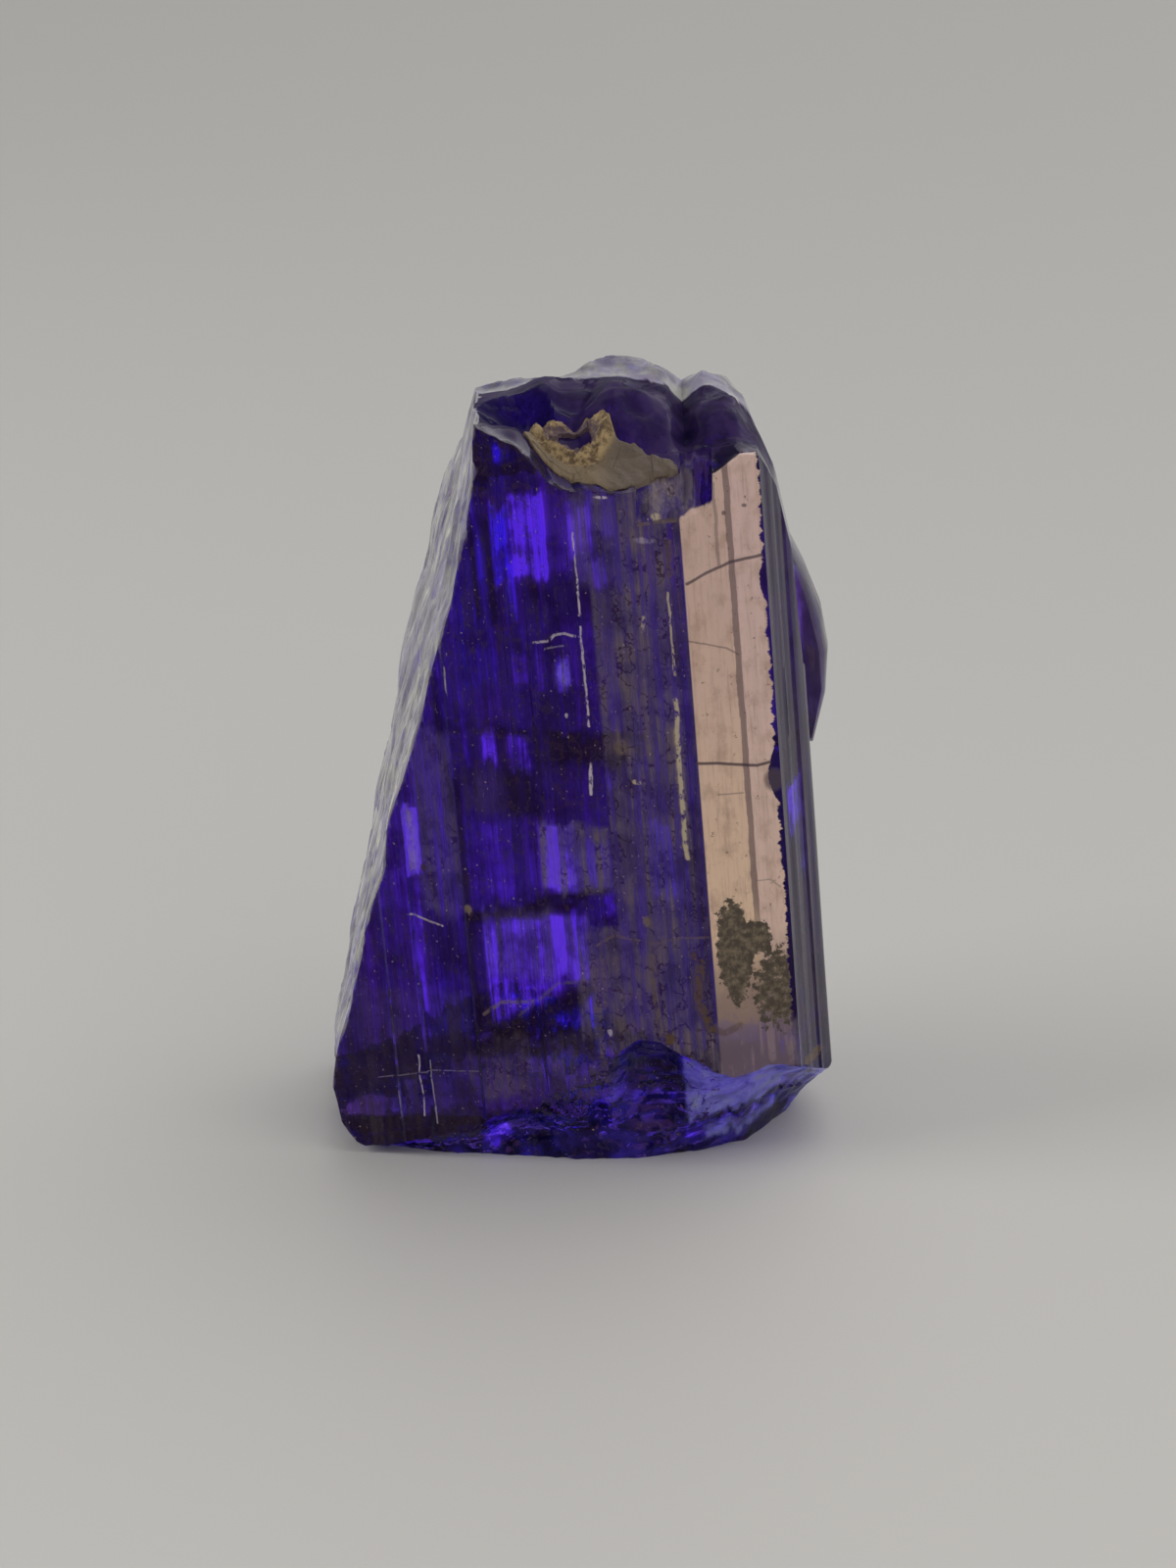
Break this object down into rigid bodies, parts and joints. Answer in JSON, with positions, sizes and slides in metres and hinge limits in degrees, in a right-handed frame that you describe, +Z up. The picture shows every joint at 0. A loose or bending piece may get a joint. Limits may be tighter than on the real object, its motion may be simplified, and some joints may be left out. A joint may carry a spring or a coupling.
{
  "type": "rough tanzanite crystal",
  "caption": "Rough violet-blue tanzanite crystal, striated and see-through, broken at top and base, with a scrap of ochre matrix crust on its top.",
  "frame": {"origin": "under the middle of the crystal's bounding box, on the surface that it stands on", "axes": "+Z up, close to the crystal's length, which leans 4.7 degrees towards -X; the broad striated front face and the pink face look towards -Y; +X to the right of the front"},
  "size_m": [0.0228, 0.0152, 0.0343],
  "materials": {
    "tanzanite": "see-through violet-blue crystal, glassy on its breaks, striated on its prism faces, with one satin pink-beige face and olive and ochre stains",
    "matrix_crust": "rough dull ochre and olive-brown mineral crust"
  },
  "bodies": {
    "root": {"crystal": "tanzanite", "matrix_crust": "matrix_crust"}
  },
  "joints": []
}
